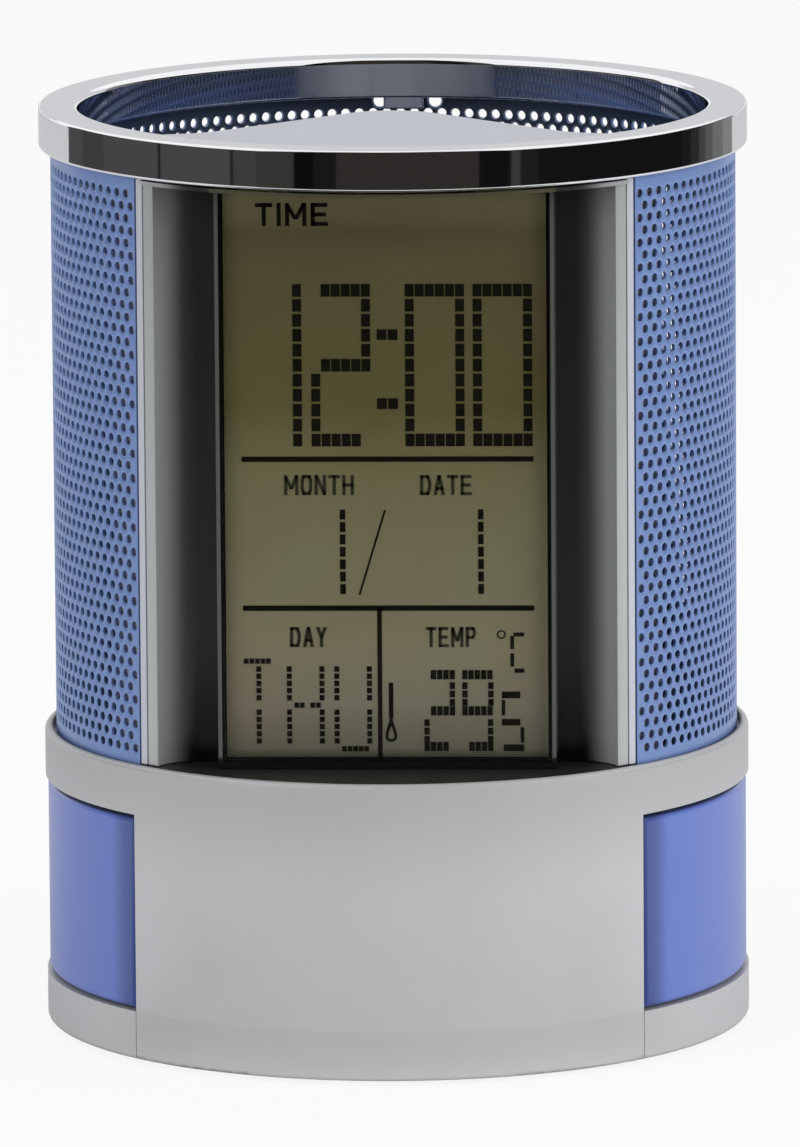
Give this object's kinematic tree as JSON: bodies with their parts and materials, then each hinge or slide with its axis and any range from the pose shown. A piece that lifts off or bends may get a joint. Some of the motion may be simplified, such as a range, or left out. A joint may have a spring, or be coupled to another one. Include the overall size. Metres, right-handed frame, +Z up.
{
  "type": "pen holder clock",
  "caption": "Round perforated desk cup for pens on a deep base, with an upright display clock set into its front between two coves.",
  "frame": {"origin": "on the table, under the middle of the cup", "axes": "+Z up, -Y out of the display, +X to the right of someone who faces the display"},
  "size_m": [0.08, 0.08, 0.1051],
  "materials": {
    "chrome": "polished chrome plate on the ring",
    "blue_mesh": "satin blue paint on perforated steel",
    "bezel_silver": "glossy silver paint on plastic",
    "housing_silver": "semi-gloss silver paint on plastic",
    "base_silver": "satin silver paint on plastic",
    "blue_plastic": "satin blue plastic",
    "clear_window": "clear acrylic",
    "lcd": "grey-green liquid crystal cell",
    "zebra_rubber": "pink conductive rubber",
    "white_plastic": "white moulded plastic",
    "circuit_board": "green solder mask",
    "steel": "zinc-plated steel",
    "black_resin": "black potting resin",
    "foam": "black foam rubber",
    "cell_wrap": "printed wrap, plain dark",
    "contact_steel": "nickel-plated spring steel",
    "switch_black": "black switch bodies",
    "key_grey": "dark grey plastic",
    "ribbon": "grey ribbon insulation",
    "brass": "brass sounder disc",
    "lead_wire": "red lead insulation"
  },
  "bodies": {
    "body": {"top_ring": "chrome", "mesh_sleeve": "blue_mesh", "clock_bezel": "bezel_silver", "display_window": "clear_window", "lcd_panel": "lcd", "contact_strips": "zebra_rubber", "lcd_holder": "white_plastic", "clock_board": "circuit_board", "board_screws": "steel", "chip_cap": "black_resin", "quartz_crystal": "steel", "temperature_sensor": "black_resin", "clock_housing": "housing_silver", "housing_screws": "steel", "base_shell": "base_silver", "base_tray": "base_silver", "side_panel_right": "blue_plastic", "side_panel_left": "blue_plastic", "base_screws": "steel", "module_screws": "steel", "foot_pads": "foam", "battery_right": "cell_wrap", "battery_left": "cell_wrap", "battery_link": "contact_steel", "battery_terminals": "contact_steel", "key_board": "circuit_board", "key_switches": "switch_black", "ribbon_cable": "ribbon", "buzzer": "brass", "buzzer_leads": "lead_wire"},
    "battery_door": {"battery_door": "base_silver"},
    "mode_button": {"mode_button": "key_grey"},
    "set_button": {"set_button": "key_grey"},
    "up_button": {"up_button": "key_grey"},
    "down_button": {"down_button": "key_grey"}
  },
  "joints": [
    {"name": "battery_door_slide", "type": "slide", "parent": "body", "child": "battery_door", "axis": [0, 1, 0], "range_m": [0, 0.067]},
    {"name": "mode_button_press", "type": "slide", "parent": "body", "child": "mode_button", "axis": [0, -1, 0], "range_m": [0, 0.0006], "stiffness_N_per_m": 400, "springref_m": -0.001},
    {"name": "set_button_press", "type": "slide", "parent": "body", "child": "set_button", "axis": [0, -1, 0], "range_m": [0, 0.0006], "stiffness_N_per_m": 400, "springref_m": -0.001},
    {"name": "up_button_press", "type": "slide", "parent": "body", "child": "up_button", "axis": [0, -1, 0], "range_m": [0, 0.0006], "stiffness_N_per_m": 400, "springref_m": -0.001},
    {"name": "down_button_press", "type": "slide", "parent": "body", "child": "down_button", "axis": [0, -1, 0], "range_m": [0, 0.0006], "stiffness_N_per_m": 400, "springref_m": -0.001}
  ]
}
